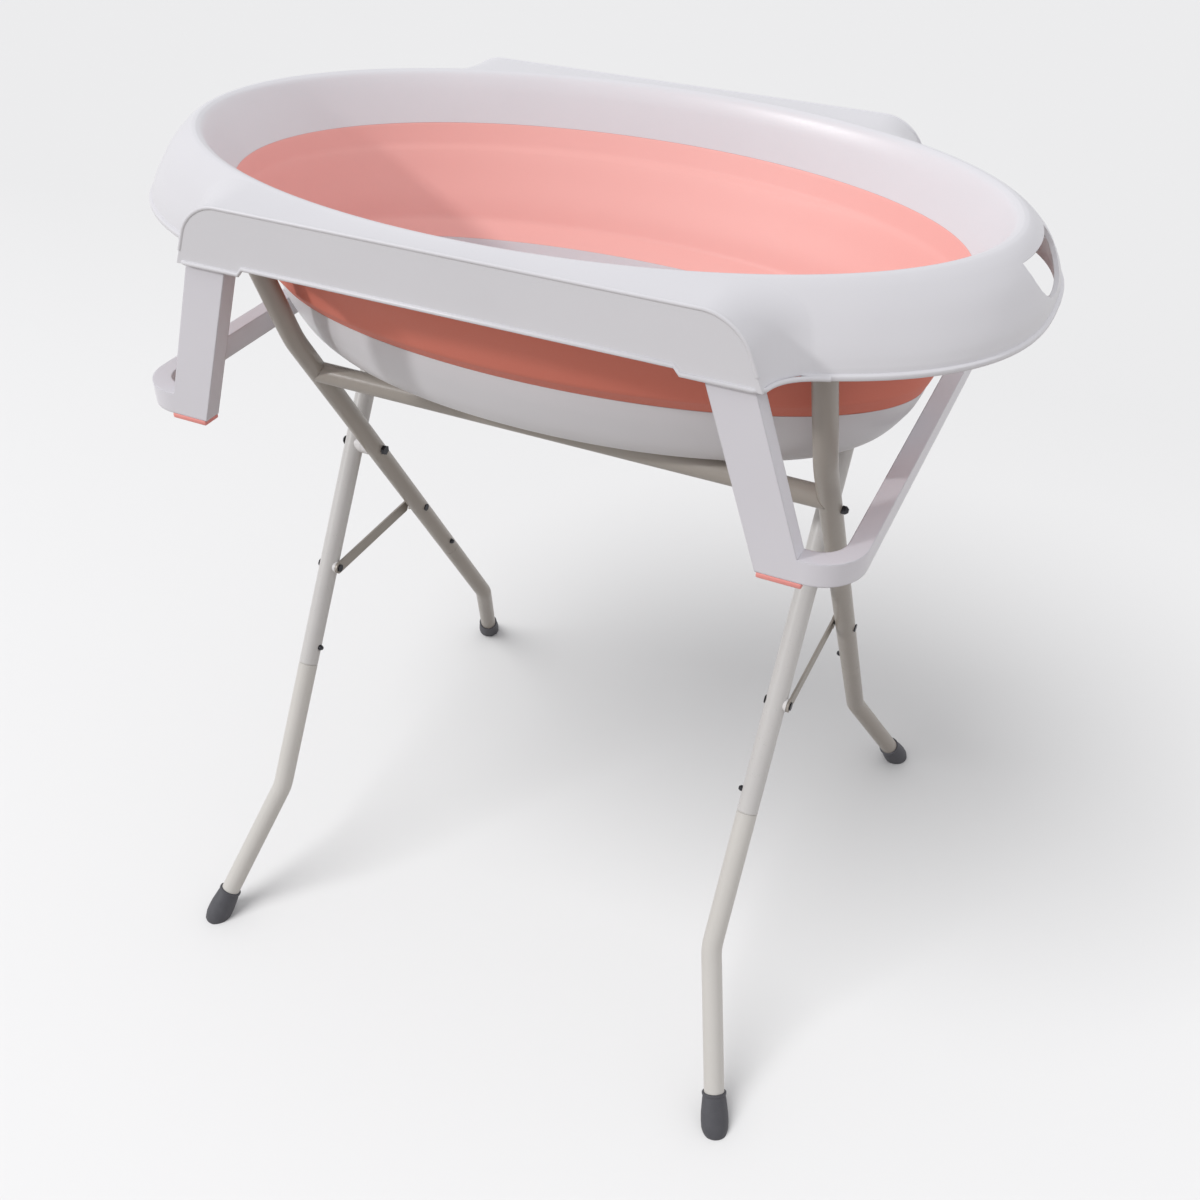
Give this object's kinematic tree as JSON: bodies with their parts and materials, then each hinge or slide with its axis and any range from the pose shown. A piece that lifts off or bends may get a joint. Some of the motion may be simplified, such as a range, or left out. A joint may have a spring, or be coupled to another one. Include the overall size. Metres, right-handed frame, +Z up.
{
  "type": "folding baby bath with stand",
  "caption": "Oval folding baby bath with a white rim, coral collapsible wall and shallow white basin, held up on a folding scissor stand of bent grey tubes with rubber feet",
  "frame": {"origin": "on the floor, midway between the feet and under the middle of the tub", "axes": "+Z up, X along the tub's length, -Y towards the pictured front"},
  "size_m": [0.88, 0.6736, 0.903],
  "materials": {
    "tube_paint": "warm light grey powder coat, satin",
    "brace_paint": "warm grey powder coat, satin",
    "foot_rubber": "dark grey moulded rubber, matte",
    "dark_fastener": "black coated steel",
    "spring_steel": "plain spring steel",
    "plug_plastic": "moulded light grey plastic",
    "white_plastic": "cool white moulded plastic, satin",
    "coral_elastomer": "coral soft thermoplastic elastomer, matte",
    "coral_pad": "coral soft pad, matte"
  },
  "bodies": {
    "outer_frame": {"outer_left_tube": "tube_paint", "outer_right_tube": "tube_paint", "outer_crossbar": "tube_paint", "outer_left_lower_leg": "tube_paint", "outer_right_lower_leg": "tube_paint", "outer_left_foot": "foot_rubber", "outer_right_foot": "foot_rubber", "outer_top_plugs": "plug_plastic", "outer_stop_studs": "dark_fastener", "outer_pivot_saddles": "white_plastic", "outer_button_clips": "spring_steel", "pivot_bolts": "dark_fastener", "pivot_nuts": "dark_fastener", "brace_rivets": "dark_fastener", "brace_saddles": "white_plastic"},
    "inner_frame": {"inner_left_tube": "tube_paint", "inner_right_tube": "tube_paint", "inner_crossbar": "tube_paint", "inner_left_lower_leg": "tube_paint", "inner_right_lower_leg": "tube_paint", "inner_left_foot": "foot_rubber", "inner_right_foot": "foot_rubber", "inner_top_plugs": "plug_plastic", "inner_stop_studs": "dark_fastener", "inner_pivot_saddles": "white_plastic", "inner_button_clips": "spring_steel", "brace_hook_pins": "dark_fastener"},
    "left_brace": {"left_brace": "brace_paint"},
    "right_brace": {"right_brace": "brace_paint"},
    "tub": {"upper_rim": "white_plastic", "bellows_wall": "coral_elastomer", "leg_hinge_pins": "spring_steel"},
    "basin": {"basin": "white_plastic"},
    "drain_plug": {"drain_plug": "coral_pad"},
    "left_leg": {"left_leg": "white_plastic", "left_leg_pads": "coral_pad"},
    "right_leg": {"right_leg": "white_plastic", "right_leg_pads": "coral_pad"},
    "outer_left_button": {"outer_left_button": "spring_steel"},
    "outer_right_button": {"outer_right_button": "spring_steel"},
    "inner_left_button": {"inner_left_button": "spring_steel"},
    "inner_right_button": {"inner_right_button": "spring_steel"}
  },
  "joints": [
    {"name": "stand_fold", "type": "hinge", "parent": "outer_frame", "child": "inner_frame", "pos_m": [0, 0, 0.523], "axis": [-1, 0, 0], "range_deg": [0, 54.5]},
    {"name": "left_brace_lift", "type": "hinge", "parent": "outer_frame", "child": "left_brace", "pos_m": [-0.278, -0.07777, 0.39708], "axis": [1, 0, 0], "range_deg": [0, 45]},
    {"name": "right_brace_lift", "type": "hinge", "parent": "outer_frame", "child": "right_brace", "pos_m": [0.278, -0.07777, 0.39708], "axis": [1, 0, 0], "range_deg": [0, 45]},
    {"name": "tub_lift", "type": "slide", "parent": "outer_frame", "child": "tub", "axis": [0, 0, 1], "range_m": [0, 0.8105]},
    {"name": "basin_collapse", "type": "slide", "parent": "tub", "child": "basin", "axis": [0, 0, 1], "range_m": [0, 0.09], "deforming": ["bellows_wall"]},
    {"name": "drain_plug_pull", "type": "slide", "parent": "basin", "child": "drain_plug", "axis": [0, 0, 1], "range_m": [0, 0.06]},
    {"name": "left_leg_fold", "type": "hinge", "parent": "tub", "child": "left_leg", "pos_m": [-0.2375, 0, 0.857], "axis": [0, -1, 0], "range_deg": [0, 9]},
    {"name": "right_leg_fold", "type": "hinge", "parent": "tub", "child": "right_leg", "pos_m": [0.2375, 0, 0.857], "axis": [0, 1, 0], "range_deg": [0, 9]},
    {"name": "outer_left_button_press", "type": "slide", "parent": "outer_frame", "child": "outer_left_button", "axis": [-1, 0, 0], "range_m": [0, 0.0054], "stiffness_N_per_m": 900, "springref_m": -0.002},
    {"name": "outer_right_button_press", "type": "slide", "parent": "outer_frame", "child": "outer_right_button", "axis": [1, 0, 0], "range_m": [0, 0.0054], "stiffness_N_per_m": 900, "springref_m": -0.002},
    {"name": "inner_left_button_press", "type": "slide", "parent": "inner_frame", "child": "inner_left_button", "axis": [-1, 0, 0], "range_m": [0, 0.0054], "stiffness_N_per_m": 900, "springref_m": -0.002},
    {"name": "inner_right_button_press", "type": "slide", "parent": "inner_frame", "child": "inner_right_button", "axis": [1, 0, 0], "range_m": [0, 0.0054], "stiffness_N_per_m": 900, "springref_m": -0.002}
  ],
  "couplings": [
    {"joint": "left_brace_lift", "follows": "stand_fold", "ratio": 0.8},
    {"joint": "right_brace_lift", "follows": "stand_fold", "ratio": 0.8},
    {"joint": "tub_lift", "follows": "stand_fold", "m_per_rad": 0.85}
  ]
}
